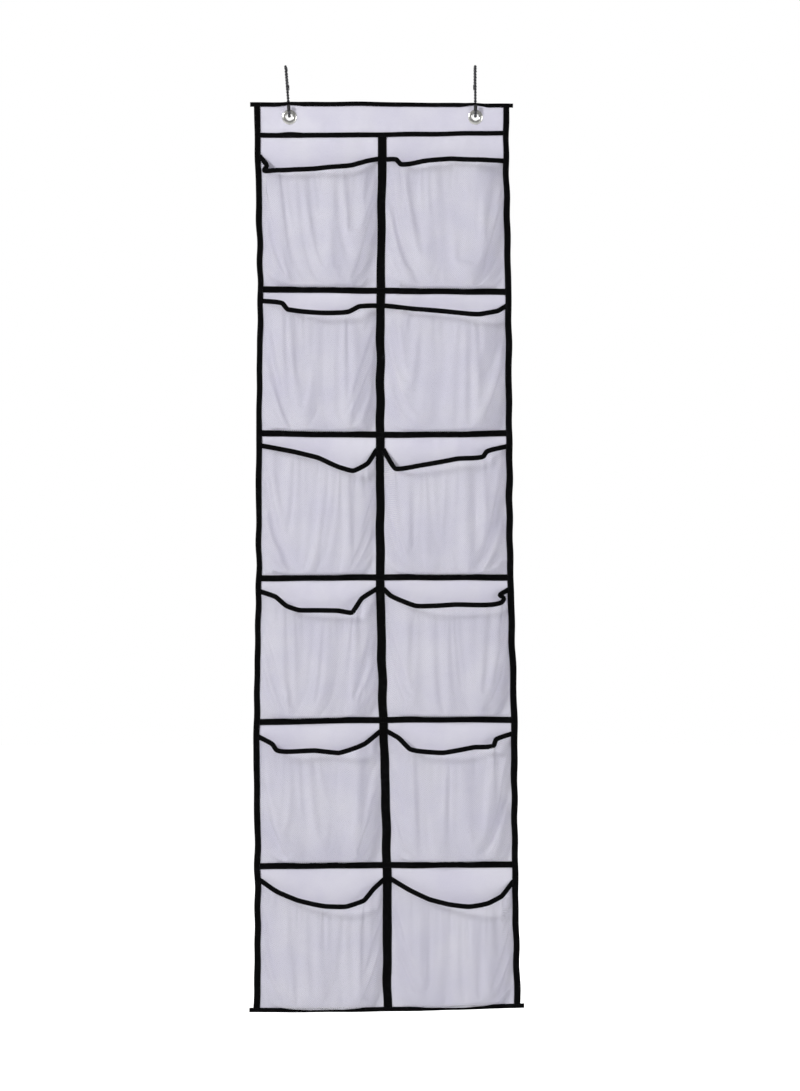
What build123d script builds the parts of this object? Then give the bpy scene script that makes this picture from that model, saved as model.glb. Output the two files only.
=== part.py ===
from build123d import *
import os

# Over-the-door shoe organizer. Millimetres, +Z up, front of the organizer facing -Y.
# The origin is on the door: midway between the hooks, on the door's front face, at its top edge.

# Fabric panel
PANEL_WIDTH = 412.0
PANEL_TOP_Z = -54.0
HEADER_HEIGHT = 52.0
FIRST_ROW_HEIGHT = 250.0
ROW_HEIGHT = 229.8
ROWS = 6
SHEET = 1.2  # thickness of the back sheet
SHEET_Y = -11.0  # middle of the back sheet's thickness; the hooks' wire keeps it off the door

# Tapes and bindings
TAPE = 1.2  # thickness of a sewn tape, and of each side of a folded binding
EDGE_BINDING_WIDTH = 10.0
END_BINDING_HEIGHT = 6.0
END_BINDING_OVERHANG = 6.0
HEADER_TAPE_HEIGHT = 8.0
ROW_TAPE_HEIGHT = 10.0
CENTRE_TAPE_WIDTH = 14.0
FOLD_GAP = 2.0  # free height at each fold line, so that the rows clear each other when folded

# Pockets
POCKET_CLEARANCE = 0.5
MESH = 0.5  # thickness of the net
HEM_HEIGHT = 8.0
HEM_THICKNESS = 1.6
MOUTH_DROP = 42.0  # from the tape above a pocket down to the top of its hem
BELLY_HEIGHT = 70.0  # where the pocket stands out furthest, above its lower seam
SEAM_DEPTH, BELLY_DEPTH, MOUTH_DEPTH = 3.0, 36.0, 26.0
SEAM_INSET, BELLY_INSET, MOUTH_INSET = 22.0, 44.0, 40.0

# Eyelets
EYELET_SPACING = 297.0
EYELET_Z = -80.0
EYELET_HOLE_RADIUS = 6.5
BARREL_WALL = 0.8
FLANGE_RADIUS = 12.0
FLANGE_THICKNESS = 1.6
FLANGE_EDGE_RADIUS = 1.0
WASHER_RADIUS = 11.0
WASHER_THICKNESS = 1.0

# Door hooks
WIRE_RADIUS = 2.4
DOOR_THICKNESS = 40.0
BACK_LEG = 32.0
SADDLE_BEND = 4.0
J_RADIUS = -SHEET_Y - WIRE_RADIUS  # the shank touches the door, and the J is centred on the sheet
J_BOTTOM_Z = EYELET_Z + 1.5
TIP_Z = -61.0
LEFT_HOOK_LEAN = 4.5  # degrees, top outwards

SHEET_FRONT = SHEET_Y - SHEET / 2
SHEET_BACK = SHEET_Y + SHEET / 2
TAPE_FRONT = SHEET_FRONT - TAPE
HALF_WIDTH = PANEL_WIDTH / 2
BINDING_OUTER = HALF_WIDTH + TAPE
BINDING_INNER = BINDING_OUTER - EDGE_BINDING_WIDTH
SIDES = {"left": -1, "right": 1}


def seam_z(row):
    """Middle of the tape under a row; row 0 is the header, and the last is the bottom binding."""
    header_seam = PANEL_TOP_Z - HEADER_HEIGHT
    return header_seam - (FIRST_ROW_HEIGHT + (row - 1) * ROW_HEIGHT if row else 0)


def tape_height(row):
    """Height of the tape or binding at the foot of a row; row 0 is the header."""
    if row == ROWS:
        return END_BINDING_HEIGHT
    return ROW_TAPE_HEIGHT if row else HEADER_TAPE_HEIGHT


def section_top(row):
    return seam_z(row - 1) - tape_height(row - 1) / 2 - FOLD_GAP if row else PANEL_TOP_Z


def section_bottom(row):
    return seam_z(row) - tape_height(row) / 2


def tape_top(row):
    """Top edge of the tape or binding at the foot of a row."""
    return seam_z(row) + tape_height(row) / 2


def block(x, y, z):
    """A block between two x, two y and two z values."""
    size = [abs(b - a) for a, b in (x, y, z)]
    centre = [(a + b) / 2 for a, b in (x, y, z)]
    return Pos(*centre) * Box(*size)


def back_section(row):
    """The back sheet from one fold line to the next; the header's has a hole for each eyelet."""
    height = (section_bottom(row), section_top(row))
    sheet = block((-HALF_WIDTH, HALF_WIDTH), (SHEET_FRONT, SHEET_BACK), height)
    if row == 0:
        for side in SIDES.values():
            sheet -= disc(side, EYELET_HOLE_RADIUS + BARREL_WALL, SHEET_FRONT, SHEET_BACK)
    return sheet


def disc(side, radius, front, back):
    """A cylinder along Y, centred on an eyelet, between two y values."""
    place = Pos(side * EYELET_SPACING / 2, (front + back) / 2, EYELET_Z)
    return place * Rot(90, 0, 0) * Cylinder(radius, back - front)


def folded_binding(x, z):
    """A tape folded over the sheet's edge: a block with the sheet's own space taken out."""
    wrap = block(x, (TAPE_FRONT, SHEET_BACK + TAPE), z)
    whole_height = (section_bottom(ROWS), PANEL_TOP_Z)
    return wrap - block((-HALF_WIDTH, HALF_WIDTH), (SHEET_FRONT, SHEET_BACK), whole_height)


def side_bindings(row):
    low = section_bottom(row) + (END_BINDING_HEIGHT if row == ROWS else 0)
    high = section_top(row) - (END_BINDING_HEIGHT if row == 0 else 0)
    return [
        folded_binding((side * BINDING_INNER, side * BINDING_OUTER), (low, high))
        for side in SIDES.values()
    ]


def end_binding(low, high):
    """The top or bottom binding, whose ends stand past the side bindings."""
    reach = BINDING_OUTER + END_BINDING_OVERHANG
    return folded_binding((-reach, reach), (low, high))


def row_tape(row):
    height = (section_bottom(row), tape_top(row))
    return block((-BINDING_INNER, BINDING_INNER), (TAPE_FRONT, SHEET_FRONT), height)


def centre_tape(row):
    half = CENTRE_TAPE_WIDTH / 2
    return block((-half, half), (TAPE_FRONT, SHEET_FRONT), (tape_top(row), section_top(row)))


def pocket_span(side):
    """The lower and the higher x of a pocket."""
    inner = CENTRE_TAPE_WIDTH / 2 + POCKET_CLEARANCE
    outer = BINDING_INNER - POCKET_CLEARANCE
    return sorted((side * inner, side * outer))


def pocket_section(side, z, depth, inset, shrink=0.0):
    """A pocket's outline in plan at one height; shrink moves the front and the sides inwards."""
    low, high = pocket_span(side)
    back = SHEET_FRONT - POCKET_CLEARANCE + shrink
    front = SHEET_FRONT - POCKET_CLEARANCE - depth + shrink
    corners = [(low + shrink, back), (low + inset, front), (high - inset, front), (high - shrink, back)]
    return make_face(Polyline(*[(x, y, z) for x, y in corners], close=True))


def pocket_levels(row):
    """Height, depth and inset of a pocket at its lower seam, its belly and its mouth."""
    foot = tape_top(row) + POCKET_CLEARANCE
    mouth = seam_z(row - 1) - MOUTH_DROP - HEM_HEIGHT
    return [
        (foot, SEAM_DEPTH, SEAM_INSET),
        (foot + BELLY_HEIGHT, BELLY_DEPTH, BELLY_INSET),
        (mouth, MOUTH_DEPTH, MOUTH_INSET),
    ]


def pocket_mesh(row, side):
    """A thin shell, closed at the sides and the foot and open at the mouth and towards the sheet."""
    levels = pocket_levels(row)
    outer = loft([pocket_section(side, *level) for level in levels], ruled=True)
    foot, belly, mouth = levels
    raised = [(foot[0] + MESH, *foot[1:]), belly, (mouth[0] + MESH, *mouth[1:])]
    return outer - loft([pocket_section(side, *level, shrink=MESH) for level in raised], ruled=True)


def pocket_hem(row, side):
    """The binding along a pocket's mouth, standing on the top edge of its mesh."""
    mouth, depth, inset = pocket_levels(row)[-1]
    outline = (side, mouth, depth, inset)
    band = pocket_section(*outline) - pocket_section(*outline, shrink=HEM_THICKNESS)
    return extrude(band, HEM_HEIGHT, dir=(0, 0, 1))


def eyelet(side):
    """Front flange and barrel in one piece; the barrel passes through the sheet and the washer."""
    front, back = SHEET_FRONT - FLANGE_THICKNESS, SHEET_BACK + WASHER_THICKNESS
    flange = disc(side, FLANGE_RADIUS, front, SHEET_FRONT)
    rim = flange.faces().sort_by(Axis.Y)[0].edges()
    barrel = disc(side, EYELET_HOLE_RADIUS + BARREL_WALL, SHEET_FRONT, back)
    return fillet(rim, FLANGE_EDGE_RADIUS) + barrel - disc(side, EYELET_HOLE_RADIUS, front, back)


def washer(side):
    """The plain ring behind the sheet that the barrel is clenched to."""
    back = SHEET_BACK + WASHER_THICKNESS
    ring = disc(side, WASHER_RADIUS, SHEET_BACK, back)
    return ring - disc(side, EYELET_HOLE_RADIUS + BARREL_WALL, SHEET_BACK, back)


def hook(side):
    """Bent wire: tip, J through the eyelet, shank, saddle over the door, and leg behind the door."""
    shank_y, tip_y = SHEET_Y + J_RADIUS, SHEET_Y - J_RADIUS
    leg_y = DOOR_THICKNESS + WIRE_RADIUS
    route = [
        (0, tip_y, TIP_Z),
        (0, tip_y, J_BOTTOM_Z),
        (0, shank_y, J_BOTTOM_Z),
        (0, shank_y, WIRE_RADIUS),
        (0, leg_y, WIRE_RADIUS),
        (0, leg_y, -BACK_LEG),
    ]
    bend = J_RADIUS * 0.99
    path = FilletPolyline(*route, radius=[bend, bend, SADDLE_BEND, SADDLE_BEND])
    wire = sweep(Plane(origin=path @ 0, z_dir=path % 0) * Circle(WIRE_RADIUS), path=path)
    lean = LEFT_HOOK_LEAN if side < 0 else 0
    in_eyelet = Pos(side * EYELET_SPACING / 2, 0, J_BOTTOM_Z)
    return in_eyelet * Rot(0, -lean, 0) * Pos(0, 0, -J_BOTTOM_Z) * wire


def nodes():
    """Every node's name and its solid or list of solids."""
    yield "back_header", back_section(0)
    yield "side_bindings_header", side_bindings(0)
    yield "top_binding", end_binding(PANEL_TOP_Z - END_BINDING_HEIGHT, PANEL_TOP_Z + TAPE)
    yield "header_tape", row_tape(0)
    for row in range(1, ROWS + 1):
        yield f"back_row_{row}", back_section(row)
        yield f"side_bindings_row_{row}", side_bindings(row)
        yield f"centre_tape_row_{row}", centre_tape(row)
        for name, side in SIDES.items():
            yield f"pocket_mesh_{row}_{name}", pocket_mesh(row, side)
            yield f"pocket_hem_{row}_{name}", pocket_hem(row, side)
    for row in range(1, ROWS):
        yield f"row_tape_{row}", row_tape(row)
    bottom = section_bottom(ROWS)
    yield "bottom_binding", end_binding(bottom - TAPE, bottom + END_BINDING_HEIGHT)
    for name, side in SIDES.items():
        yield f"eyelet_{name}", eyelet(side)
        yield f"washer_{name}", washer(side)
        yield f"hook_{name}", hook(side)


os.makedirs("parts", exist_ok=True)
for node, solids in nodes():
    shape = Compound(children=solids) if isinstance(solids, list) else solids
    export_step(shape, f"parts/{node}.step")
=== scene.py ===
"""Over-the-door shoe organizer: fabric, net, tape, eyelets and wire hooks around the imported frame.

Fabric is first laid out flat, in the frame's own metres, and then hung(): moved a few millimetres
so that its edges sway and its surface puckers. Every fabric piece goes through the same hung(), so
sheet, tapes and pockets stay joined.
"""
import math

import bmesh
import bpy
import numpy as np
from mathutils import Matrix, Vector

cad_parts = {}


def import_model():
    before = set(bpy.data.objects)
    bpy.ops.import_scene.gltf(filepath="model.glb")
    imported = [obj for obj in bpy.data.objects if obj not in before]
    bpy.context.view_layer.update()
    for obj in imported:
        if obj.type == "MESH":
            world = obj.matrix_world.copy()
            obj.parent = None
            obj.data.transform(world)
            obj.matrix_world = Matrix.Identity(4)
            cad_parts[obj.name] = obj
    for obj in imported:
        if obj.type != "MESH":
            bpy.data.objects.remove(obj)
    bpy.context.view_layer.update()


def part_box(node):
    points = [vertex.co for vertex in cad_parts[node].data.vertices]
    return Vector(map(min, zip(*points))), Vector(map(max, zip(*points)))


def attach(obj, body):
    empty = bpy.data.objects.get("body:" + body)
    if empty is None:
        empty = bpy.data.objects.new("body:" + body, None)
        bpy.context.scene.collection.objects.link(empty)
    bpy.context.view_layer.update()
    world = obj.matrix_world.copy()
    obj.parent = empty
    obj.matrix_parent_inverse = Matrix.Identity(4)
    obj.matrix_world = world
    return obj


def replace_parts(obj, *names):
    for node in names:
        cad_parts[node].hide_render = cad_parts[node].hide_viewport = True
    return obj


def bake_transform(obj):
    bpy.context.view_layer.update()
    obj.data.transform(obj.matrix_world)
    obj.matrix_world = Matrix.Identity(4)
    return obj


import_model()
MM = 0.001

# --- Sizes and places, read from the frame ---------------------------------------------------
ROWS = 6
SIDES = {"left": -1, "right": 1}


def middle(node, axis):
    """The middle of a node's box along one axis."""
    low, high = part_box(node)
    return (low[axis] + high[axis]) / 2


SHEET_FRONT, SHEET_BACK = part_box("back_row_1")[0].y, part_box("back_row_1")[1].y
SHEET_MIDDLE, SHEET_HALF = (SHEET_FRONT + SHEET_BACK) / 2, 0.0005
TAPE_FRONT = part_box("row_tape_1")[0].y
TAPE_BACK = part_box("side_bindings_row_1")[1].y
PANEL_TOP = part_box("back_header")[1].z
PANEL_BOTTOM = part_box("back_row_6")[0].z
HALF_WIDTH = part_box("back_row_1")[1].x
BINDING_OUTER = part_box("side_bindings_row_1")[1].x
BINDING_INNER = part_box("row_tape_1")[1].x
CENTRE_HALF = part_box("centre_tape_row_1")[1].x
END_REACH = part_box("top_binding")[1].x
TAPES = ["header_tape"] + [f"row_tape_{row}" for row in range(1, ROWS)] + ["bottom_binding"]
TAPE_FEET = [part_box(tape)[0].z for tape in TAPES]
TAPE_TOPS = [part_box(tape)[1].z for tape in TAPES]
SEAMS = [middle(tape, 2) for tape in TAPES]
EYELETS = {side: (middle(f"eyelet_{side}", 0), middle(f"eyelet_{side}", 2)) for side in SIDES}

# --- Lists that follow the look of the hanging object ------------------------------------------
# How far the hung fabric strays from its flat place, in mm, at the top edge and at each seam:
# sideways at the left edge, centre and right edge, then upwards at the same three places.
STRAY = [
    (2, 0, -4, -3.5, -3, -6),
    (2.5, 0, -5, -3, -2, 1.2),
    (7.5, -3, -1, 1.2, -1, -3.4),
    (5, -3.5, 0, 1.6, -1.2, 1.2),
    (5, -3.5, 2.5, -0.8, 0.7, 0.8),
    (1.2, 1.5, 8, -1, 3, 3),
    (2.8, 7, 9.5, -0.9, 0.8, 1.8),
    (1.6, 8, 13, -0.2, 1, 7),
]
# Each pocket's mouth from left to right: share of the pocket's width, and mm below the tape above.
# Where the share steps back, the hem is folded in a small pleat.
MOUTHS = {
    (1, "left"): [(0, 33), (0.06, 50), (0.035, 57), (0.17, 58), (0.5, 55), (0.77, 50), (0.9, 43), (1, 39)],
    (1, "right"): [(0, 40), (0.09, 42), (0.12, 49), (0.32, 46), (0.55, 43), (0.76, 46), (1, 48)],
    (2, "left"): [(0, 18), (0.19, 24), (0.23, 33), (0.3, 35), (0.76, 35), (0.84, 27), (1, 24)],
    (2, "right"): [(0, 24), (0.17, 28), (0.48, 33), (0.79, 37), (0.93, 31), (1, 22)],
    (3, "left"): [(0, 20), (0.3, 29), (0.5, 38), (0.68, 52), (0.8, 58), (0.92, 46), (1, 23)],
    (3, "right"): [(0, 23), (0.105, 55), (0.34, 49), (0.6, 40), (0.82, 36), (0.84, 30), (1, 21)],
    (4, "left"): [(0, 21), (0.14, 30), (0.23, 44), (0.33, 51), (0.68, 53), (0.79, 56), (0.87, 34), (1, 18)],
    (4, "right"): [(0, 18), (0.05, 28), (0.26, 46), (0.56, 44), (0.95, 38), (0.96, 34), (0.93, 28), (1, 19)],
    (5, "left"): [(0, 23), (0.12, 35), (0.145, 43), (0.47, 47), (0.66, 51), (0.87, 37), (1, 18)],
    (5, "right"): [(0, 18), (0.1, 29), (0.18, 45), (0.45, 52), (0.69, 43), (0.85, 40), (0.87, 31), (1, 22)],
    (6, "left"): [(0, 22), (0.145, 40), (0.3, 53), (0.53, 63), (0.69, 64), (0.84, 54), (0.92, 36), (1, 23)],
    (6, "right"): [(0, 22), (0.16, 39), (0.32, 54), (0.48, 62), (0.64, 65), (0.79, 60), (0.9, 50), (1, 27)],
}


# --- Small mathematics -----------------------------------------------------------------------
WAVE_COUNT = 7


def ramp(x, low, high):
    """0 below low, 1 above high, and smooth between them."""
    t = np.clip((x - low) / (high - low), 0, 1)
    return t * t * (3 - 2 * t)


def spline(at, knots, values, round_off=1.0):
    """A smooth curve through values at rising knots; round_off below 1 tightens its corners."""
    knots, values, at = (np.asarray(a, float) for a in (knots, values, at))
    slopes = np.gradient(values, knots) * round_off
    i = np.clip(np.searchsorted(knots, at, side="right") - 1, 0, len(knots) - 2)
    step = knots[i + 1] - knots[i]
    t = np.clip((at - knots[i]) / step, 0, 1)
    return (
        values[i] * (2 * t**3 - 3 * t**2 + 1)
        + values[i + 1] * (3 * t**2 - 2 * t**3)
        + slopes[i] * step * (t**3 - 2 * t**2 + t)
        + slopes[i + 1] * step * (t**3 - t**2)
    )


def distances(path):
    """Distance along a path of points, from 0 at its start."""
    return np.concatenate([[0], np.cumsum(np.linalg.norm(np.diff(path, axis=0), axis=1))])


def waves(a, b, length, seed, stretch=1.0):
    """Smooth unrepeating waves between about -1 and 1; stretch above 1 draws them out along b."""
    rng = np.random.default_rng(seed)
    total = np.zeros(np.broadcast(a, b).shape)
    for _ in range(WAVE_COUNT):
        angle, phase = rng.uniform(0, 2 * math.pi, 2)
        turns = 2 * math.pi / (length * rng.uniform(0.7, 1.5))
        total = total + np.sin(turns * (a * math.cos(angle) + b * math.sin(angle) / stretch) + phase)
    return total / (WAVE_COUNT / 2)


def stray(x, z):
    """Sideways and upward shift of the hung fabric at flat places x, z, in metres."""
    heights = [-PANEL_TOP, *(-seam for seam in SEAMS)]
    columns = [spline(-z, heights, [row[k] for row in STRAY]) * MM for k in range(6)]
    t = x / HALF_WIDTH

    def across(left, centre, right):
        return centre + (right - left) / 2 * t + ((left + right) / 2 - centre) * t * t

    return across(*columns[:3]), across(*columns[3:])


# Round each eyelet the fabric keeps its flat place, sideways and upwards, out to CALM_FROM. From CALM_TO
# outwards it strays freely. It also keeps level there and straight above, where the hook stands behind
# it and in front of it, and swells freely from LEVEL_TO.
CALM_FROM, CALM_TO, LEVEL_TO = 0.012, 0.032, 0.045
# The pulls that radiate from an eyelet are full at PULL_FROM, and fade over about PULL_REACH.
PULL_SIZE, PULL_FROM, PULL_REACH = 0.8 * MM, 0.020, 0.03
# Broad waves of the fabric towards the front and back: mm, length in metres, seed.
SWELLS = [(1.6, 0.17, 11), (0.8, 0.055, 12)]
# Small creases that fade away from the seams and from the side edges: mm, length and reach in metres, seed.
SEAM_CREASES, EDGE_CREASES = (0.6, 0.016, 0.016, 13), (0.5, 0.02, 0.014, 14)
# Waves of the fabric in its own plane, sideways and upwards: metres, length, seed.
SIDEWAYS, UPWARDS = (0.8 * MM, 0.075, 15), (0.4 * MM, 0.1, 16)


def hung(points):
    """Flat fabric points, shape (..., 3), moved to where the hung fabric is."""
    points = np.array(points, float)
    x, z = points[..., 0], points[..., 2]
    dx, dz = stray(x, z)
    calm, level, pull = 1.0, 1.0, 0.0
    for ex, ez in EYELETS.values():
        r = np.hypot(x - ex, z - ez)
        angle = np.arctan2(x - ex, z - ez)
        calm = calm * ramp(r, CALM_FROM, CALM_TO)
        level = level * ramp(np.hypot(x - ex, np.minimum(z - ez, 0)), CALM_FROM, LEVEL_TO)
        fading = ramp(r, CALM_FROM, PULL_FROM) * np.exp(-((r / PULL_REACH) ** 2))
        pull = pull + np.sin(5 * angle - 1) * fading
    swell = sum(size * waves(x, z, length, seed) for size, length, seed in SWELLS)
    crease = 0.0
    size, length, reach, seed = SEAM_CREASES
    for seam in SEAMS:
        near = np.exp(-np.abs(z - seam) / reach)
        crease = crease + near * waves(x, z, length, seed, stretch=3.0) * size
    size, length, reach, seed = EDGE_CREASES
    near = np.exp(-(HALF_WIDTH - np.abs(x)).clip(0) / reach)
    crease = crease + near * waves(z, x, length, seed, stretch=3.0) * size
    out = points.copy()
    out[..., 0] += dx * calm + SIDEWAYS[0] * waves(z, x, *SIDEWAYS[1:]) * calm
    out[..., 1] += (swell + crease) * level * MM + pull * PULL_SIZE
    out[..., 2] += dz * calm + UPWARDS[0] * waves(x, z, *UPWARDS[1:]) * calm
    return out


# --- Mesh helpers ----------------------------------------------------------------------------
def new_object(name, vertices, faces, uvs=None, materials=(), face_materials=None, closed=True):
    """A smooth-shaded mesh object; the faces of a closed one are turned to look outwards."""
    mesh = bpy.data.meshes.new(name)
    mesh.from_pydata([tuple(v) for v in vertices], [], faces)
    if uvs is not None:
        layer = mesh.uv_layers.new(name="flat")
        corners = np.empty(len(mesh.loops), np.int32)
        mesh.loops.foreach_get("vertex_index", corners)
        layer.data.foreach_set("uv", np.asarray(uvs, np.float32)[corners].ravel())
    for material in materials:
        mesh.materials.append(material)
    if face_materials is not None:
        mesh.polygons.foreach_set("material_index", np.asarray(face_materials, np.int32))
    if closed:
        shell = bmesh.new()
        shell.from_mesh(mesh)
        bmesh.ops.recalc_face_normals(shell, faces=shell.faces)
        shell.to_mesh(mesh)
        shell.free()
    mesh.polygons.foreach_set("use_smooth", np.ones(len(mesh.polygons), bool))
    mesh.update()
    mesh.set_sharp_from_angle(angle=math.radians(55))
    obj = bpy.data.objects.new(name, mesh)
    bpy.context.scene.collection.objects.link(obj)
    return obj


def drop_loose_vertices(obj):
    """Removes the vertices that no face uses."""
    shell = bmesh.new()
    shell.from_mesh(obj.data)
    bmesh.ops.delete(shell, geom=[v for v in shell.verts if not v.link_faces], context="VERTS")
    shell.to_mesh(obj.data)
    shell.free()


def grid_faces(rows, columns, wrap=False):
    """Quads of a grid of vertices; wrap joins the last column to the first."""
    faces = []
    for r in range(rows - 1):
        for c in range(columns if wrap else columns - 1):
            a, b = r * columns + c, r * columns + (c + 1) % columns
            faces.append((a, b, b + columns, a + columns))
    return faces


class Parts:
    """Collects the vertices, faces, UVs and material slots of one object made of several shells."""

    def __init__(self):
        self.vertices, self.faces, self.uvs, self.slots = [], [], [], []

    def add(self, vertices, faces, uvs, slot=0):
        first = len(self.vertices)
        self.vertices += [tuple(v) for v in vertices]
        self.faces += [tuple(first + i for i in face) for face in faces]
        self.uvs += [tuple(uv) for uv in uvs]
        self.slots += [slot] * len(faces)

    def tube(self, rings, uvs, slot=0):
        """Rings of points, shape (rings, points, 3), joined into a closed skin."""
        rows, columns = rings.shape[:2]
        faces = grid_faces(rows, columns, wrap=True)
        faces.append(tuple(range(columns))[::-1])
        faces.append(tuple((rows - 1) * columns + i for i in range(columns)))
        self.add(rings.reshape(-1, 3), faces, uvs.reshape(-1, 2), slot)

    def make(self, name, materials):
        return new_object(name, self.vertices, self.faces, self.uvs, materials, self.slots)


def rounded_band(half_width, half_thick):
    """Cross-section of a tape as (across, out) points, with softly rounded edges."""
    bend = min(half_thick, half_width) * 0.9
    corner = np.radians([0, 30, 60, 90])
    arc = np.stack([np.cos(corner), np.sin(corner)], 1) * bend
    points = []
    for sx, sy, order in ((1, 1, 1), (-1, 1, -1), (-1, -1, 1), (1, -1, -1)):
        part = arc[::order] * (sx, sy) + (sx * (half_width - bend), sy * (half_thick - bend))
        points += part.tolist()
        if (sx, sy) == (1, 1):
            points += [(half_width * t, half_thick) for t in (0.4, -0.4)]
        if (sx, sy) == (-1, -1):
            points += [(half_width * t, -half_thick) for t in (-0.4, 0.4)]
    return np.array(points)


# --- Materials -------------------------------------------------------------------------------
DOT_PITCH, NET_PITCH = 0.0022, 0.0031
RIB_PITCH, YARN_PITCH, THREAD_PITCH = 0.0011, 0.0007, 0.0006


class Nodes:
    """A material's node tree, with short ways to add and join nodes."""

    def __init__(self, name):
        self.material = bpy.data.materials.new(name)
        self.material.use_nodes = True
        self.tree = self.material.node_tree
        self.shader = self.tree.nodes["Principled BSDF"]

    def add(self, kind, inputs=(), **settings):
        node = self.tree.nodes.new(f"ShaderNode{kind}")
        for key, value in settings.items():
            setattr(node, key, value)
        for key, value in dict(inputs).items():
            self.feed(node.inputs[key], value)
        return node

    def feed(self, socket, value):
        if isinstance(value, bpy.types.NodeSocket):
            self.tree.links.new(value, socket)
        else:
            socket.default_value = value

    def math(self, operation, a, b=0.0):
        return self.add("Math", {0: a, 1: b}, operation=operation).outputs[0]

    def mapped(self, value, low, high, new_low=0.0, new_high=1.0):
        """value from low..high to new_low..new_high, smoothly and clamped."""
        given = {"Value": value, "From Min": low, "From Max": high, "To Min": new_low, "To Max": new_high}
        return self.add("MapRange", given, interpolation_type="SMOOTHSTEP").outputs[0]

    def mix(self, factor, a, b):
        node = self.add("Mix", data_type="RGBA")
        self.feed(node.inputs[0], factor)
        self.feed(node.inputs[6], a)
        self.feed(node.inputs[7], b)
        return node.outputs[2]

    def noise(self, vector, scale, detail=3.0):
        return self.add("TexNoise", {"Vector": vector, "Scale": scale, "Detail": detail}).outputs[0]

    def place(self):
        """Place in the frame, in metres."""
        return self.add("TexCoord").outputs["Object"]

    def flat(self):
        """The cloth's own two coordinates, in metres."""
        uv = self.add("UVMap", uv_map="flat").outputs[0]
        parts = self.add("SeparateXYZ", {0: uv})
        return parts.outputs[0], parts.outputs[1], uv

    def bump(self, height, distance, strength=1.0, below=None):
        node = self.add("Bump", {"Height": height, "Distance": distance, "Strength": strength})
        if below is not None:
            self.feed(node.inputs["Normal"], below)
        return node.outputs[0]

    def shade(self, **values):
        """Sets the shader's sockets; underscores in the names stand for spaces."""
        for key, value in values.items():
            self.feed(self.shader.inputs[key.replace("_", " ")], value)
        return self.material


def lattice(nodes, u, v, pitch):
    """cos * cos of a diagonal lattice: near 0 along its lines, near 1 or -1 in its cells."""
    turn = math.pi / pitch
    plus = nodes.math("COSINE", nodes.math("MULTIPLY", nodes.math("ADD", u, v), turn))
    minus = nodes.math("COSINE", nodes.math("MULTIPLY", nodes.math("SUBTRACT", u, v), turn))
    return nodes.math("MULTIPLY", plus, minus)


def nonwoven():
    """Spun-bonded white cloth with a lavender tint: embossed dots, loose fibres, soft blotches."""
    nodes = Nodes("nonwoven")
    place = nodes.place()
    u, v, uv = nodes.flat()
    dots = nodes.mapped(nodes.math("ABSOLUTE", lattice(nodes, u, v, DOT_PITCH)), 0.62, 0.92)
    stretched = nodes.add("Mapping", {"Vector": uv, "Scale": (1.0, 0.25, 1.0)}).outputs[0]
    fibres = nodes.noise(stretched, 1400.0, 4.0)
    blotch = nodes.noise(place, 14.0)
    tone = nodes.mapped(blotch, 0.3, 0.7)
    cloth = nodes.mix(tone, (0.735, 0.715, 0.845, 1), (0.80, 0.785, 0.885, 1))
    cloth = nodes.mix(nodes.mapped(dots, 0, 1, 0.0, 0.25), cloth, (0.66, 0.64, 0.77, 1))
    cloth = nodes.mix(nodes.mapped(fibres, 0.35, 0.75, 0.0, 0.3), cloth, (0.86, 0.85, 0.92, 1))
    pressed = nodes.bump(nodes.math("SUBTRACT", 1.0, dots), 0.00018, 0.7)
    rough = nodes.bump(fibres, 0.0001, 0.6, pressed)
    soft = nodes.bump(nodes.noise(place, 55.0, 2.0), 0.0012, 0.5, rough)
    return nodes.shade(Base_Color=cloth, Roughness=0.88, Sheen_Weight=0.15, Sheen_Roughness=0.6, Normal=soft)


def net():
    """White knitted net: threads with rounded diamond holes that show what is behind."""
    nodes = Nodes("net")
    u, v, _ = nodes.flat()
    cells = nodes.math("ABSOLUTE", lattice(nodes, u, v, NET_PITCH))
    thread = nodes.mapped(cells, 0.36, 0.26)
    knots = nodes.mapped(cells, 0.12, 0.0)
    place = nodes.place()
    tone = nodes.mapped(nodes.noise(place, 22.0), 0.3, 0.7)
    colour = nodes.mix(tone, (0.80, 0.79, 0.90, 1), (0.90, 0.89, 0.96, 1))
    colour = nodes.mix(nodes.mapped(knots, 0, 1, 0, 0.35), colour, (0.95, 0.95, 0.96, 1))
    height = nodes.bump(nodes.math("SUBTRACT", 1.0, cells), 0.0005, 0.8)
    return nodes.shade(Base_Color=colour, Alpha=thread, Roughness=0.55, Sheen_Weight=0.2, Normal=height)


def tape_cloth(name, base, wear_and_highlight):
    """Black woven binding: fine ribs across its length, and paler rubbed patches."""
    nodes = Nodes(name)
    u, v, uv = nodes.flat()
    ribs = nodes.math("SINE", nodes.math("MULTIPLY", u, 2 * math.pi / RIB_PITCH))
    yarn = nodes.math("SINE", nodes.math("MULTIPLY", v, 2 * math.pi / YARN_PITCH))
    weave = nodes.math("ADD", nodes.math("MULTIPLY", ribs, 0.7), nodes.math("MULTIPLY", yarn, 0.3))
    rubbed = nodes.mapped(nodes.noise(nodes.place(), 120.0, 5.0), 0.5, 0.8)
    colour = nodes.mix(rubbed, base, wear_and_highlight)
    colour = nodes.mix(nodes.mapped(weave, -1, 1, 0.25, 0.0), colour, (0.0008, 0.0008, 0.0008, 1))
    fuzz = nodes.bump(nodes.noise(uv, 2600.0, 2.0), 0.0001, 0.5)
    woven = nodes.bump(weave, 0.00015, 0.7, fuzz)
    gloss = {"Roughness": 0.85, "Specular_IOR_Level": 0.07, "Sheen_Weight": 0.006}
    return nodes.shade(Base_Color=colour, Normal=woven, **gloss)


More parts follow.
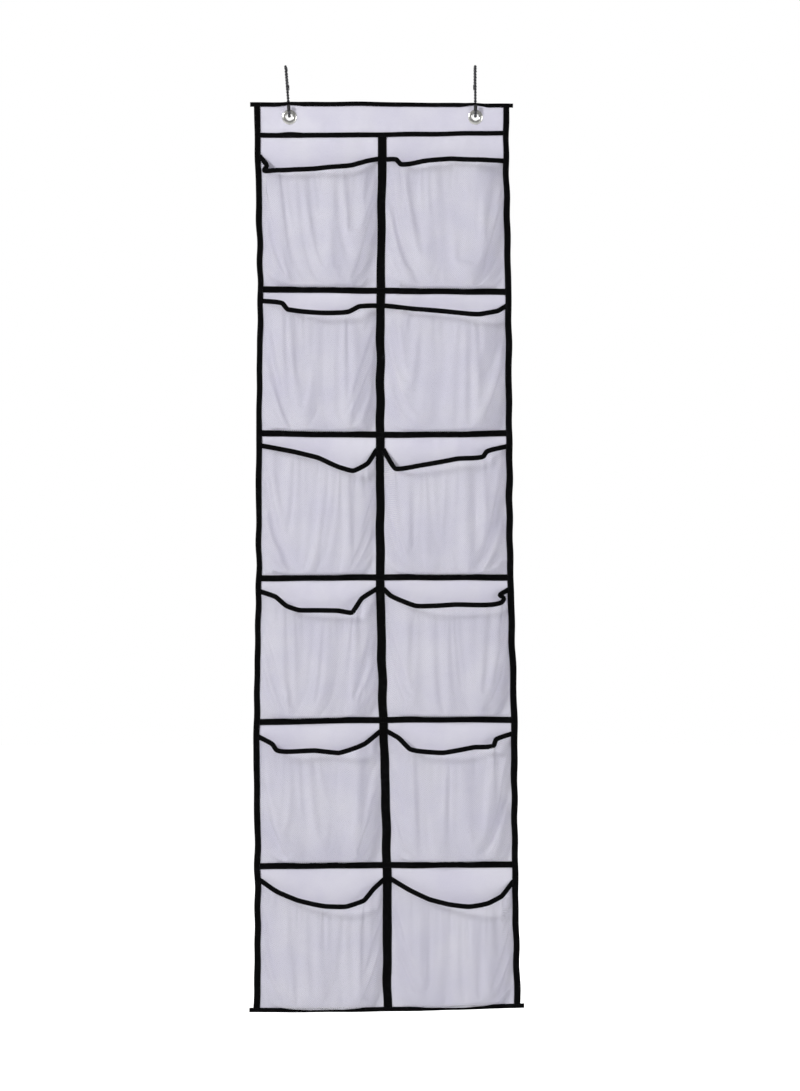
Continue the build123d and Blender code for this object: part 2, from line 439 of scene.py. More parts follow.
def thread():
    """Black twisted sewing thread."""
    nodes = Nodes("thread")
    u, v, _ = nodes.flat()
    twist = nodes.math("SINE", nodes.math("MULTIPLY", nodes.math("ADD", u, v), 2 * math.pi / THREAD_PITCH))
    colour = nodes.mix(nodes.mapped(twist, -1, 1), (0.006, 0.006, 0.006, 1), (0.020, 0.020, 0.022, 1))
    twisted = nodes.bump(twist, 0.00005, 0.6)
    return nodes.shade(Base_Color=colour, Roughness=0.6, Specular_IOR_Level=0.25, Normal=twisted)


def eyelet_metal():
    """Nickel-plated steel, faintly brushed and scuffed."""
    nodes = Nodes("eyelet_metal")
    place = nodes.place()
    scuff = nodes.noise(place, 900.0, 4.0)
    cloud = nodes.noise(place, 160.0, 2.0)
    colour = nodes.mix(nodes.mapped(cloud, 0.35, 0.7), (0.78, 0.77, 0.74, 1), (0.90, 0.89, 0.86, 1))
    gloss = nodes.mapped(scuff, 0.3, 0.8, 0.16, 0.34)
    scuffed = nodes.bump(scuff, 0.00004, 0.4)
    return nodes.shade(Base_Color=colour, Metallic=1.0, Roughness=gloss, Normal=scuffed)


def hook_steel():
    """Dark coated steel wire with random grime, and pale patches scattered by noise that are painted
    highlights.
    """
    nodes = Nodes("hook_steel")
    place = nodes.place()
    # Pale patches, scattered by noise and mixed in below, are painted highlights on the wire.
    wear_and_highlight = nodes.mapped(nodes.noise(place, 700.0, 5.0), 0.52, 0.74)
    grime = nodes.noise(place, 240.0, 3.0)
    colour = nodes.mix(nodes.mapped(grime, 0.3, 0.7), (0.055, 0.055, 0.060, 1), (0.125, 0.125, 0.135, 1))
    colour = nodes.mix(nodes.mapped(wear_and_highlight, 0, 1, 0, 0.6), colour, (0.38, 0.38, 0.39, 1))
    uneven = nodes.bump(grime, 0.0001, 0.5)
    return nodes.shade(Base_Color=colour, Metallic=0.75, Roughness=0.38, Normal=uneven)


def plain(name, colour, roughness):
    """One colour with a faint unevenness."""
    nodes = Nodes(name)
    grain = nodes.noise(nodes.place(), 3.0)
    tint = nodes.mix(nodes.mapped(grain, 0.3, 0.7), colour, tuple(c * 0.995 for c in colour[:3]) + (1,))
    return nodes.shade(Base_Color=tint, Roughness=roughness)


NONWOVEN, NET = nonwoven(), net()
TAPE = tape_cloth("black_tape", (0.0012, 0.0012, 0.0014, 1), (0.006, 0.006, 0.007, 1))
THREAD, METAL, STEEL = thread(), eyelet_metal(), hook_steel()
VINYL = plain("black_vinyl", (0.012, 0.012, 0.013, 1), 0.45)
FLOOR = plain("floor", (0.9, 0.9, 0.9, 1), 0.9)


# --- Back sheet ------------------------------------------------------------------------------
CUTS = [PANEL_TOP] + [(SEAMS[i] + SEAMS[i + 1]) / 2 for i in range(ROWS - 1)] + [PANEL_BOTTOM]
# The finely divided stretch round a tape's foot: how far above and below the foot it goes, and its step.
FINE_ABOVE, FINE_BELOW, FINE_STEP = 0.004, 0.014, 0.0012
PLAIN_STEP = 0.004
SHEET_COLUMNS, CROSS_COLUMNS, END_COLUMNS = 118, 150, 160
HOLE_RADIUS = 0.0085


def fold(piece):
    """Bakes a piece's placement into its mesh; the piece is not bent."""
    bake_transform(piece)
    return piece


def heights(index):
    """Heights from one cut to the next, closer together round the tape's foot."""
    high, low = CUTS[index], CUTS[index + 1]
    top, foot = TAPE_FEET[index] + FINE_ABOVE, TAPE_FEET[index] - FINE_BELOW
    runs = [(high, top, PLAIN_STEP), (top, foot, FINE_STEP), (foot, low, PLAIN_STEP)]
    points = [np.linspace(a, b, max(2, round((a - b) / d)) + 1)[:-1] for a, b, d in runs]
    return np.append(np.concatenate(points), low)


def vertex_normals(grid):
    """Unit normals of a grid of points, towards the front."""
    down, right = np.gradient(grid, axis=0), np.gradient(grid, axis=1)
    normal = np.cross(right, down)
    normal /= np.linalg.norm(normal, axis=-1, keepdims=True).clip(1e-12)
    return np.where(normal[..., 1:2] > 0, -normal, normal)


def back_sheet(index):
    """A closed thin slab between two cuts, with the eyelet holes left for the metal to cover."""
    z = heights(index)
    x = np.linspace(-HALF_WIDTH, HALF_WIDTH, SHEET_COLUMNS)
    gx, gz = np.meshgrid(x, z)
    grid = hung(np.stack([gx, np.full_like(gx, SHEET_MIDDLE), gz], -1))
    normal = vertex_normals(grid)
    rows, columns = gx.shape
    count = rows * columns
    front, back = grid + normal * SHEET_HALF, grid - normal * SHEET_HALF
    keep = np.ones((rows - 1, columns - 1), bool)
    for ex, ez in EYELETS.values():
        middle_x, middle_z = (gx[:-1, :-1] + gx[1:, 1:]) / 2, (gz[:-1, :-1] + gz[1:, 1:]) / 2
        keep &= np.hypot(middle_x - ex, middle_z - ez) > HOLE_RADIUS
    quads = np.array(grid_faces(rows, columns))
    kept = quads[keep.ravel()]
    faces = [tuple(q) for q in kept[:, ::-1]] + [tuple(q + count) for q in kept]
    edges = dict.fromkeys((a, b) for q in kept.tolist() for a, b in zip(q, q[1:] + q[:1]))
    rim = [(a, b) for a, b in edges if (b, a) not in edges]
    faces += [(a, b, b + count, a + count) for a, b in rim]
    points = np.concatenate([front.reshape(-1, 3), back.reshape(-1, 3)])
    flat = np.stack([gx, gz], -1).reshape(-1, 2)
    piece = new_object(f"back_sheet_{index}", points, faces, np.concatenate([flat, flat]), [NONWOVEN])
    nodes = [f"back_row_{index + 1}"] + (["back_header"] if index == 0 else [])
    drop_loose_vertices(piece)
    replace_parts(piece, *nodes)
    return fold(piece)


# --- Tapes and bindings ------------------------------------------------------------------------
STITCH_PITCH, STITCH_LENGTH = 0.0034, 0.0026
STITCH_HALF_WIDTH, STITCH_HEIGHT = 0.0003, 0.00028
# How far a row of stitches lies inside a tape's edge: least on the cross tapes and hems, more on the
# centre tape and the end bindings, and most along the fabric's sides.
NEAR_INSET, MIDDLE_INSET, FAR_INSET = 0.0011, 0.0012, 0.0014
# How far a cross tape's ends go under the side bindings.
SIDE_TUCK = 0.003
# How far short of the sheet's top and bottom the side bindings stop, inside the end bindings.
END_GAP = 0.004
# How far each tape's face stands past the plain tape's, so that the upper one covers the lower.
CROSS_PROUD, SIDE_PROUD, END_PROUD = 0.0003, 0.0006, 0.0009
# Behind, an end binding stands past a side binding by this share of what it does in front.
BACK_SHARE = 0.2
BINDING_BEND = 0.0011
FRONT = np.array([0.0, -1.0, 0.0])


def sweep_tape(parts, path, across, out, section):
    """A tape along flat path points; across and out are its unit vectors at each point."""
    path = np.asarray(path, float)
    across = np.broadcast_to(across, path.shape)
    out = np.broadcast_to(out, path.shape)
    rings = path[:, None] + section[None, :, :1] * across[:, None] + section[None, :, 1:] * out[:, None]
    along = distances(path)
    uvs = np.empty((len(path), len(section), 2))
    uvs[..., 0], uvs[..., 1] = along[:, None], section[None, :, 0] + section[None, :, 1]
    parts.tube(rings, uvs)


def stitch_row(parts, path, across, out):
    """Raised stitches along a path of points that already lies on the cloth's surface."""
    path = np.asarray(path, float)
    along = distances(path)
    starts = np.arange(STITCH_PITCH / 2, along[-1] - STITCH_LENGTH, STITCH_PITCH)

    def at(distance, values):
        return np.stack([np.interp(distance, along, values[:, k]) for k in range(3)], -1)

    across = np.broadcast_to(across, path.shape)
    out = np.broadcast_to(out, path.shape)
    a, b = at(starts, path), at(starts + STITCH_LENGTH, path)
    centre = (a + b) / 2
    side, up = at(starts, across) * STITCH_HALF_WIDTH, at(starts, out) * STITCH_HEIGHT
    corners = np.stack([a, b, centre + side, centre - side, centre + up, centre - up], 1)
    pattern = [(0, 2, 4), (0, 4, 3), (0, 3, 5), (0, 5, 2), (1, 4, 2), (1, 3, 4), (1, 5, 3), (1, 2, 5)]
    uv = np.array([(0, 0), (STITCH_LENGTH, 0), (0.001, 0.0003), (0.001, 0), (0.001, 0.0006), (0.001, 0)])
    for six in corners:
        parts.add(six, pattern, uv, slot=1)


def sewn_through(parts, line, across, rear):
    """Stitches along a line on a tape's face, and again where they come out behind, at y = rear."""
    stitch_row(parts, line, across, FRONT)
    behind = np.array(line, float)
    behind[:, 1] = rear
    stitch_row(parts, behind, across, -FRONT)


def finish_tape(parts, name, nodes):
    """Hangs the collected tape and makes its object."""
    parts.vertices = hung(np.array(parts.vertices))
    piece = parts.make(name, [TAPE, THREAD])
    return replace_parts(piece, *nodes)


def cross_tape(node, body):
    """A tape across the front of the sheet, its ends under the side bindings."""
    low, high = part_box(node)
    half_height, z = (high.z - low.z) / 2, (high.z + low.z) / 2
    x = np.linspace(low.x - SIDE_TUCK, high.x + SIDE_TUCK, CROSS_COLUMNS)
    thick = (SHEET_FRONT - TAPE_FRONT + CROSS_PROUD) / 2
    path = np.stack([x, np.full_like(x, SHEET_FRONT - thick), np.full_like(x, z)], -1)
    parts = Parts()
    sweep_tape(parts, path, (0, 0, 1.0), FRONT, rounded_band(half_height, thick))
    for edge in (-1, 1):
        line = path + FRONT * thick + (0, 0, edge * (half_height - NEAR_INSET))
        sewn_through(parts, line, (0, 0, 1.0), SHEET_MIDDLE + SHEET_HALF)
    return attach(finish_tape(parts, f"{node}_cloth", [node]), body)


def folded_section(inner, outer, edge, extra):
    """Cross-section of a binding folded round an edge, as (distance from the middle line, y) points."""
    front, back = TAPE_FRONT - extra, TAPE_BACK + (extra - SIDE_PROUD) * BACK_SHARE
    bend = BINDING_BEND
    turn = np.radians([0, 30, 60, 90])
    points = [(inner, front + bend / 2), (inner + bend / 2, front), ((inner + outer) / 2, front)]
    points += [(outer - bend + bend * math.sin(t), front + bend - bend * math.cos(t)) for t in turn]
    points += [(outer - bend + bend * math.cos(t), back - bend + bend * math.sin(t)) for t in turn]
    points += [((inner + outer) / 2, back), (inner + bend / 2, back), (inner, back - bend / 2)]
    points += [(inner, SHEET_BACK), (edge, SHEET_BACK), (edge, SHEET_FRONT), (inner, SHEET_FRONT)]
    return np.array(points)


def side_binding(index):
    """The left and right bindings between two cuts."""
    z = heights(index)
    if index == 0:
        z[0] -= END_GAP
    if index == ROWS - 1:
        z[-1] += END_GAP
    section = folded_section(BINDING_INNER, BINDING_OUTER, HALF_WIDTH, SIDE_PROUD)
    parts = Parts()
    for side in (-1, 1):
        path = np.stack([np.zeros_like(z), np.zeros_like(z), z], -1)
        sweep_tape(parts, path, (side, 0, 0), (0, 1.0, 0), section[::side])
        for x in (BINDING_INNER + NEAR_INSET, BINDING_OUTER - FAR_INSET):
            line = path + (side * x, TAPE_FRONT - SIDE_PROUD, 0)
            sewn_through(parts, line, (1.0, 0, 0), TAPE_BACK)
    nodes = [f"side_bindings_row_{index + 1}"] + (["side_bindings_header"] if index == 0 else [])
    return fold(finish_tape(parts, f"side_bindings_{index}", nodes))


def centre_tape(index):
    """The tape down the middle between two cuts; the first one starts at the header tape."""
    z = heights(index)
    z = z[z <= SEAMS[0]] if index == 0 else z
    thick = (SHEET_FRONT - TAPE_FRONT) / 2
    path = np.stack([np.zeros_like(z), np.full_like(z, SHEET_FRONT - thick), z], -1)
    parts = Parts()
    sweep_tape(parts, path, (1.0, 0, 0), FRONT, rounded_band(CENTRE_HALF, thick))
    for edge in (-1, 1):
        line = path + FRONT * thick + (edge * (CENTRE_HALF - MIDDLE_INSET), 0, 0)
        sewn_through(parts, line, (1.0, 0, 0), SHEET_MIDDLE + SHEET_HALF)
    return fold(finish_tape(parts, f"centre_tape_{index}", [f"centre_tape_row_{index + 1}"]))


def end_binding(node, body, edge_z, outward):
    """The binding folded over the sheet's top or bottom edge; outward is 1 at the top, -1 at the bottom."""
    low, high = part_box(node)
    outer = abs((high.z if outward > 0 else low.z) - edge_z)
    inner = abs((low.z if outward > 0 else high.z) - edge_z)
    section = folded_section(-inner, outer, 0.0, END_PROUD)
    x = np.linspace(-END_REACH, END_REACH, END_COLUMNS)
    path = np.stack([x, np.zeros_like(x), np.full_like(x, edge_z)], -1)
    parts = Parts()
    sweep_tape(parts, path, (0, 0, outward), (0, 1.0, 0), section)
    line = path + (0, TAPE_FRONT - END_PROUD, -outward * (inner - MIDDLE_INSET))
    sewn_through(parts, line, (0, 0, 1.0), TAPE_BACK)
    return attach(finish_tape(parts, f"{node}_cloth", [node]), body)


for index in range(ROWS):
    back_sheet(index)
    side_binding(index)
    centre_tape(index)
cross_tape("header_tape", "header")
for row in range(1, ROWS):
    cross_tape(f"row_tape_{row}", f"row_{row}")
end_binding("top_binding", "header", PANEL_TOP, 1)
end_binding("bottom_binding", f"row_{ROWS}", PANEL_BOTTOM, -1)


# --- Pockets -----------------------------------------------------------------------------------
# How far a net's sides reach under the centre tape and the side bindings.
TUCK = 0.002
DRAPE_FRAMES = 24
# The share by which the draped net is larger than its sewn outline.
SPARE_CLOTH = 0.034
# All of a net is free to drape but the two outermost rows and columns of its grid.
FREE = slice(2, -2)
# How far the last row's nets may hang below the top edge of the bottom binding, and the rows of the
# grid, counted from the foot, over which this grows.
LAST_SAG, SAG_ROWS = 0.006, (2, 7)
# The height above its lowest allowed place over which a draped net is squeezed instead of cut off.
FOOT_SOFTNESS = 0.006
# How far in front of the sheet's face the draped net always stays.
NET_CLEARANCE = 0.0007
# How far in from its tucked side or its foot the net starts to stand out, and the distance it takes.
SIDE_START, SIDE_RISE = 0.0005, 0.044
FOOT_START, FOOT_RISE = 0.0045, 0.048
# How far a pleat stands out beside the place where the hem steps back.
PLEAT_LIFT = 0.003
# Each kind of crease: strength in mm, length in metres, and how many times it is drawn out downwards.
SLANTED, FINE, GATHERS = (4.6, 0.065, 3.0), (0.4, 0.03, 3.0), (1.4, 0.024, 8.0)
# The fans of creases near the mouth's two ends: strength in mm, and how far below the tape they start.
FAN_STRENGTH, FAN_DROP = 3.0, 0.025
NET_LEVEL = (SHEET_FRONT + TAPE_FRONT) / 2
NET_STEP, HEM_STEP = 0.0030, 0.0018
# How many rows fewer the net's grid has, because its mouth lies below the tape above.
FEWER_ROWS = 8
NET_DEPTH = NET_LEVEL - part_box("pocket_mesh_1_left")[0].y
HEM_HALF, HEM_HALF_THICK = 0.0039, 0.0008
HEM_ROUND = 0.45
HALVES = ("a", "b")
# On each half, a width in from the sewn side, and in from the pocket's middle.
HELD = 0.005
# How much shorter than the pocket the net's flat coordinates are, and a second, smaller shortening of the
# flat size.
FLAT_SHORT, STATED_SHORT = 0.03, 0.02


class Pocket:
    """One pocket's surface, by distance along its hem and height from foot (0) to mouth (1)."""

    def __init__(self, row, side):
        self.row, self.side = row, side
        self.seed = 10 * row + SIDES[side]
        rng = np.random.default_rng(self.seed)
        inner, outer = CENTRE_HALF - TUCK, BINDING_INNER + TUCK
        self.left, self.right = (-outer, -inner) if side == "left" else (inner, outer)
        self.width = self.right - self.left
        self.tape, self.foot = SEAMS[row - 1], SEAMS[row]
        self.height = self.tape - self.foot
        self.shares, self.drops = np.array(MOUTHS[row, side], float).T
        steps = np.hypot(np.diff(self.shares) * self.width, np.diff(self.drops) * MM)
        self.knots = np.append(0, np.cumsum(steps))
        length = np.linspace(0, self.knots[-1], 4001)
        self.centre = length[np.argmin(np.abs(spline(length, self.knots, self.shares, HEM_ROUND) - 0.5))]
        self.depth = NET_DEPTH * rng.uniform(0.86, 0.97)
        self.mouth = rng.uniform(0.55, 0.72)
        self.slant = rng.uniform(0.25, 0.6) * rng.choice((-1, 1))

    def columns(self, half, step):
        """Distances along the hem and even shares of the width, from one edge to the centre."""
        ends = (0, self.centre) if half == "a" else (self.centre, self.knots[-1])
        length = np.linspace(*ends, max(8, round((ends[1] - ends[0]) / step)) + 1)
        shares = np.linspace(0, 0.5, len(length)) + (0 if half == "a" else 0.5)
        return length, shares

    def pleats(self, length):
        """0 to 1 beside each place where the hem steps back, on the side where the mouth is lower."""
        lift = np.zeros_like(length)
        for i in np.flatnonzero(np.diff(self.shares) < 0):
            at = (self.knots[i] + self.knots[i + 1]) / 2
            lower_side = np.sign(self.drops[i + 1] - self.drops[i])
            past = (length - at) * lower_side
            lift = lift + ramp(past, -0.005, 0.005) * (1 - ramp(past, 0.012, 0.05))
        return lift

    def surface(self, length, share, up):
        """Hung points of the net, for arrays of one shape."""
        hem = spline(length, self.knots, self.shares, HEM_ROUND)
        drop = spline(length, self.knots, self.drops, HEM_ROUND) * MM
        x = self.left + self.width * (share + (hem - share) * ramp(up, 0.5, 1.0))
        z = self.foot + (self.tape - drop - self.foot) * up
        edge = np.minimum(x - self.left, self.right - x) - TUCK - SIDE_START
        side = 1 - (1 - np.clip(edge / SIDE_RISE, 0, 1)) ** 2.2
        foot = 1 - (1 - np.clip((z - self.foot - FOOT_START) / FOOT_RISE, 0, 1)) ** 2.0
        body = side * foot
        depth = self.depth * body * (1 - (1 - self.mouth) * ramp(up, 0.4, 1.0))
        depth = depth + self.folds(x, z, up) * body * MM
        depth = depth + PLEAT_LIFT * self.pleats(length) * ramp(up, 0.55, 1.0)
        flat = np.stack([x, NET_LEVEL - depth, z], -1)
        return hung(flat)

    def folds(self, x, z, up):
        """Soft creases in mm: slanted and fine ones, gathers above the foot, fans from the mouth's ends."""

        def crease(kind, across, seed):
            strength, length, stretch = kind
            return strength * waves(across, z, length, self.seed + seed, stretch=stretch)

        total = crease(SLANTED, x + self.slant * (z - self.foot), 200)
        total = total + crease(FINE, x, 300)
        total = total + crease(GATHERS, x, 400) * (1 - ramp(up, 0.05, 0.4))
        for corner in (self.left, self.right):
            dx, dz = np.abs(x - corner), z - (self.tape - FAN_DROP)
            reach, angle = np.hypot(dx, dz), np.arctan2(dx, -dz)
            fan = np.sin(9 * angle + self.seed) * ramp(reach, 0.01, 0.04) * np.exp(-reach / 0.07)
            total = total + FAN_STRENGTH * fan
        return total


def hang_on(pocket, piece, half):
    """Works out where a half's sewn side and middle lie, and bakes the half's placement into its mesh."""
    edge = pocket.left if half == "a" else pocket.right
    inward = 1 if half == "a" else -1
    middle_z = (pocket.tape + pocket.foot) / 2
    centre = (pocket.left + pocket.right) / 2
    ends = hung([(x, 0, middle_z) for x in (edge + inward * HELD, centre - inward * HELD)])
    start, end = ends[:, 0]
    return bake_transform(piece)


class Net:
    """A pocket's whole net as a grid, from edge to edge and foot to mouth."""

    def __init__(self, pocket):
        self.pocket = pocket
        first, second = (pocket.columns(half, NET_STEP) for half in HALVES)
        self.split = len(first[0]) - 1
        length, share = (np.concatenate([a, b[1:]]) for a, b in zip(first, second))
        up = np.linspace(0, 1, round(pocket.height / NET_STEP) - FEWER_ROWS)
        self.shape = (len(up), len(length))
        length, share = (np.broadcast_to(a, self.shape) for a in (length, share))
        up = np.broadcast_to(up[:, None], self.shape)
        self.points = pocket.surface(length, share, up)
        self.flat = np.stack([share * pocket.width, up * (pocket.height - FLAT_SHORT)], -1)

    def start_draping(self):
        """A cloth whose sewn edges and mouth are pinned, and which is a little too large."""
        name = f"draping_{self.pocket.row}_{self.pocket.side}"
        cloth = new_object(name, self.points.reshape(-1, 3), grid_faces(*self.shape), closed=False)
        index = np.arange(len(cloth.data.vertices)).reshape(self.shape)
        pins = cloth.vertex_groups.new(name="sewn")
        pins.add(np.setdiff1d(index, index[FREE, FREE]).tolist(), 1.0, "REPLACE")
        modifier = cloth.modifiers.new("cloth", "CLOTH")
        modifier.point_cache.frame_end = DRAPE_FRAMES
        settings = modifier.settings
        settings.quality = 6
        settings.mass = 0.12
        settings.tension_stiffness = settings.compression_stiffness = 12
        settings.shear_stiffness = 3
        settings.bending_stiffness = 2.0
        settings.vertex_group_mass = "sewn"
        settings.shrink_min = -SPARE_CLOTH
        self.cloth = cloth

    def end_draping(self):
        """Takes the draped points, kept in front of the sheet, and removes the cloth."""
        graph = bpy.context.evaluated_depsgraph_get()
        mesh = self.cloth.evaluated_get(graph).data
        moved = np.empty(self.points.size, np.float32)
        mesh.vertices.foreach_get("co", moved)
        moved = moved.reshape(self.points.shape).astype(float)
        bpy.data.objects.remove(self.cloth)
        row = self.pocket.row
        place = moved * (1, 0, 1)
        sheet = hung(place + (0, SHEET_FRONT - NET_CLEARANCE, 0))[..., 1]
        tape = hung(place * (1, 0, 0) + (0, 0, TAPE_TOPS[row]))[..., 2]
        sag = LAST_SAG if row == ROWS else 0.0
        low = tape - sag * ramp(np.arange(self.shape[0])[:, None], *SAG_ROWS)
        height = moved[..., 2] - low
        squeezed = FOOT_SOFTNESS * np.exp(np.minimum(height / FOOT_SOFTNESS - 1, 0))
        moved[..., 2] = np.where(height > FOOT_SOFTNESS, moved[..., 2], low + squeezed)
        moved[..., 1] = np.minimum(moved[..., 1], sheet)
        self.points[FREE, FREE] = moved[FREE, FREE]

    def half(self, half):
        """The grid's columns on one side of the middle, as an object."""
        columns = slice(0, self.split + 1) if half == "a" else slice(self.split, None)
        points, flat = self.points[:, columns], self.flat[:, columns]
        faces = grid_faces(*points.shape[:2])
        row, side = self.pocket.row, self.pocket.side
        name = f"pocket_net_{row}_{side}_{half}"
        piece = new_object(name, points.reshape(-1, 3), faces, flat.reshape(-1, 2), [NET], closed=False)
        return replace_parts(piece, f"pocket_mesh_{row}_{side}")


def drape(nets):
    """Lets all the nets fall into folds together."""
    for net in nets:
        net.start_draping()
    scene = bpy.context.scene
    for step in range(1, DRAPE_FRAMES + 1):
        scene.frame_set(step)
    for net in nets:
        net.end_draping()
    scene.frame_set(1)


def hem_half(pocket, half):
    """The black binding sewn over the mouth's edge."""
    length, share = pocket.columns(half, HEM_STEP)
    path = pocket.surface(length, share, np.ones_like(length))
    along = np.gradient(path, axis=0)
    along /= np.linalg.norm(along, axis=1, keepdims=True)
    out = FRONT - (along @ FRONT)[:, None] * along
    out /= np.linalg.norm(out, axis=1, keepdims=True)
    across = np.cross(out, along)
    parts = Parts()
    sweep_tape(parts, path, across, out, rounded_band(HEM_HALF, HEM_HALF_THICK))
    for edge in (-1, 1):
        line = path + out * HEM_HALF_THICK + across * edge * (HEM_HALF - NEAR_INSET)
        stitch_row(parts, line, across, out)
    piece = parts.make(f"pocket_hem_{pocket.row}_{pocket.side}_{half}_cloth", [TAPE, THREAD])
    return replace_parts(piece, f"pocket_hem_{pocket.row}_{pocket.side}")


nets = [Net(Pocket(row, side)) for row in range(1, ROWS + 1) for side in SIDES]
drape(nets)
for net in nets:
    pocket = net.pocket
    for half in HALVES:
        net_piece, hem_piece = net.half(half), hem_half(pocket, half)
        hang_on(pocket, net_piece, half)
        hang_on(pocket, hem_piece, half)


# --- Eyelets -----------------------------------------------------------------------------------
# Points round each ring's section, in mm: radius, and distance in front of the sheet's face.
EYELET_PROFILE = [
    (5.7, 0.2), (5.75, 0.9), (6.2, 1.4), (7.0, 1.62), (8.4, 1.58), (10.2, 1.25), (11.4, 0.8),
    (11.95, 0.35), (12.0, 0.05), (11.6, -0.1), (6.5, -0.1), (6.5, -2.2), (7.4, -2.25), (8.0, -2.4),
    (7.8, -2.7), (7.0, -2.85), (6.1, -2.6), (5.7, -2.0),
]
WASHER_PROFILE = [
    (6.7, -1.15), (6.7, -2.0), (7.3, -2.2), (10.5, -2.1), (11.0, -1.8), (11.0, -1.3), (10.6, -1.1),
]


def lathe(name, profile, side, turns=72):
    """A ring turned about the eyelet's own middle."""
    ex, ez = EYELETS[side]
    radius, front = np.array(profile).T * MM
    angle = np.linspace(0, 2 * math.pi, turns, endpoint=False)[:, None]
    x, z = ex + radius * np.cos(angle), ez + radius * np.sin(angle)
    points = np.stack([x, np.broadcast_to(SHEET_FRONT - front, x.shape), z], -1).reshape(-1, 3)
    count = len(profile)
    faces = []
    for i in range(turns):
        for j in range(count):
            a, b = i * count, (i + 1) % turns * count
            k = (j + 1) % count
            faces.append((a + j, a + k, b + k, b + j))
    return new_object(name, points, faces, np.zeros((len(points), 2)), [METAL])


for side in SIDES:
    for node, profile in ((f"eyelet_{side}", EYELET_PROFILE), (f"washer_{side}", WASHER_PROFILE)):
        ring = lathe(f"{node}_metal", profile, side)
        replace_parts(ring, node)
        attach(ring, "header")


# --- Hooks -------------------------------------------------------------------------------------
WIRE = 0.0024
HOOK_LOW, HOOK_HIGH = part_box("hook_right")
TIP_Z, BACK_END_Z, CORNER = -0.061, -0.032, 0.004
ROUTE_STEP, WIRE_SIDES = 0.0008, 12
LEAN = {"left": math.radians(4.5), "right": 0.0}
STRAND, TWIST_RADIUS, TWIST_PITCH = 0.00132, 0.00108, 0.0095
CAP_RADIUS, CAP_LENGTH = 0.0028, 0.010


def hook_route():
    """The wire's middle line from the tip to the end behind the door, as even (y, z) points."""
    shank, back, top = -WIRE, HOOK_HIGH.y - WIRE, HOOK_HIGH.z - WIRE
    bend = (shank - HOOK_LOW.y - WIRE) / 2
    low = HOOK_LOW.z + WIRE + bend

    def arc(cy, cz, radius, start, end):
        angle = np.radians(np.linspace(start, end, 25))
        return np.stack([cy + radius * np.cos(angle), cz + radius * np.sin(angle)], 1)

    stretches = [
        [(shank - 2 * bend, TIP_Z)],
        arc(shank - bend, low, bend, 180, 360),
        arc(shank + CORNER, top - CORNER, CORNER, 180, 90),
        arc(back - CORNER, top - CORNER, CORNER, 90, 0),
        [(back, BACK_END_Z)],
    ]
    points = np.concatenate(stretches)
    along = distances(points)
    even = np.linspace(0, along[-1], round(along[-1] / ROUTE_STEP) + 1)
    return np.stack([np.interp(even, along, points[:, k]) for k in range(2)], 1), even


def wire_hook(side):
    """Two strands of wire twisted together, with a dipped cap on each end."""
    route, along = hook_route()
    ex, ez = EYELETS[side]
    middle_line = np.column_stack([np.full(len(route), ex), route])
    ahead = np.gradient(middle_line, axis=0)
    ahead /= np.linalg.norm(ahead, axis=1, keepdims=True)
    sideways = np.array([1.0, 0, 0])
    over = np.cross(ahead, sideways)
    ring = np.linspace(0, 2 * math.pi, WIRE_SIDES, endpoint=False)[:, None]
    parts = Parts()

    def tube(centre, radius, upward, slot):
        spokes = np.cos(ring)[None] * sideways + np.sin(ring)[None] * upward[:, None]
        rings = centre[:, None] + np.reshape(radius, (-1, 1, 1)) * spokes
        parts.tube(rings, np.zeros(rings.shape[:2] + (2,)), slot)

    for strand in (0, math.pi):
        turn = (2 * math.pi * along / TWIST_PITCH + strand)[:, None]
        offset = TWIST_RADIUS * (np.cos(turn) * sideways + np.sin(turn) * over)
        tube(middle_line + offset, np.full(len(along), STRAND), over, 0)
    for line in (along, along[-1] - along):
        inside = np.flatnonzero(line < CAP_LENGTH)
        near = line[inside]
        round_end = np.sqrt(np.clip(1 - (1 - near / CAP_RADIUS).clip(0) ** 2, 0.02, 1))
        neck = 1 - 0.12 * ramp(near, CAP_LENGTH * 0.8, CAP_LENGTH)
        tube(middle_line[inside], CAP_RADIUS * round_end * neck, over[inside], 1)
    points = np.array(parts.vertices)
    cosine, sine = math.cos(LEAN[side]), math.sin(LEAN[side])
    x, z = points[:, 0] - ex, points[:, 2] - ez
    points[:, 0], points[:, 2] = ex + x * cosine - z * sine, ez + z * cosine + x * sine
    parts.vertices = points
    hook = parts.make(f"hook_{side}_wire", [STEEL, VINYL])
    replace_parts(hook, f"hook_{side}")
    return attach(hook, "door_hooks")


for side in SIDES:
    wire_hook(side)


# --- Floor, light and camera -----------------------------------------------------------------
FLOOR_Z, FLOOR_RADIUS = -1.72, 14.0
FLOOR_GLOW, WORLD_LIGHT = 0.85, 0.26
AIM = Vector((0.0, 0.0, -0.76))


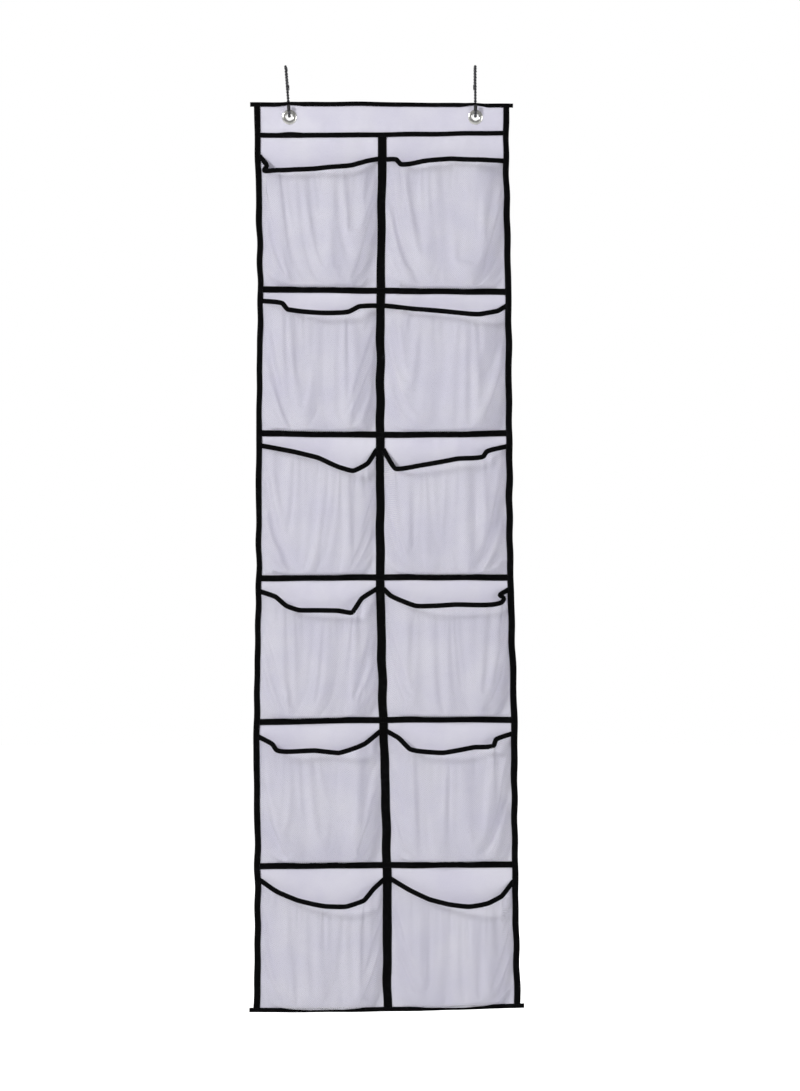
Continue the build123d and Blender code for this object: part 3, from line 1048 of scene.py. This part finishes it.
def seen_and_lit(tree, seen, light):
    """A strength for the picture itself and another for the light that is cast."""
    path = tree.nodes.new("ShaderNodeLightPath")
    strength = tree.nodes.new("ShaderNodeMapRange")
    strength.inputs["To Min"].default_value = light
    strength.inputs["To Max"].default_value = seen
    tree.links.new(path.outputs["Is Camera Ray"], strength.inputs["Value"])
    return strength.outputs[0]


def floor():
    """A pale floor that melts into the white room."""
    shader = FLOOR.node_tree.nodes["Principled BSDF"]
    shader.inputs["Emission Color"].default_value = (1, 1, 1, 1)
    glow = seen_and_lit(FLOOR.node_tree, FLOOR_GLOW, 0.0)
    FLOOR.node_tree.links.new(glow, shader.inputs["Emission Strength"])
    angle = np.linspace(0, 2 * math.pi, 96, endpoint=False)
    rim = [(FLOOR_RADIUS * math.cos(a), FLOOR_RADIUS * math.sin(a), FLOOR_Z) for a in angle]
    obj = new_object("floor", rim, [tuple(range(len(rim)))], materials=[FLOOR], closed=False)


def area_light(name, place, size, power):
    """A square white lamp that faces the middle of the part."""
    lamp = bpy.data.lights.new(name, "AREA")
    lamp.size = size
    lamp.energy = power
    obj = bpy.data.objects.new(name, lamp)
    obj.location = place
    obj.rotation_euler = (AIM - Vector(place)).to_track_quat("-Z", "Y").to_euler()
    bpy.context.scene.collection.objects.link(obj)


def world():
    """White to the camera, and a softer white as light."""
    room = bpy.data.worlds.new("studio")
    room.use_nodes = True
    background = room.node_tree.nodes["Background"]
    background.inputs["Color"].default_value = (1, 1, 1, 1)
    room.node_tree.links.new(seen_and_lit(room.node_tree, 1.0, WORLD_LIGHT), background.inputs["Strength"])
    bpy.context.scene.world = room


def camera():
    """A long lens straight in front, a little right of the middle."""
    data = bpy.data.cameras.new("camera")
    data.sensor_width = 36.0
    data.lens = 144.4
    data.clip_end = 100.0
    obj = bpy.data.objects.new("camera", data)
    obj.location = (0.028, -7.0, -0.764)
    obj.rotation_euler = (math.radians(90), 0, 0)
    bpy.context.scene.collection.objects.link(obj)
    bpy.context.scene.camera = obj


floor()
area_light("key", (-3.7, -3.6, 1.6), 0.9, 168.0)
area_light("fill", (3.6, -4.0, -0.2), 2.0, 52.0)
area_light("back", (2.0, 4.2, 1.2), 2.0, 100.0)
world()
camera()
bpy.context.scene.view_settings.view_transform = "Standard"
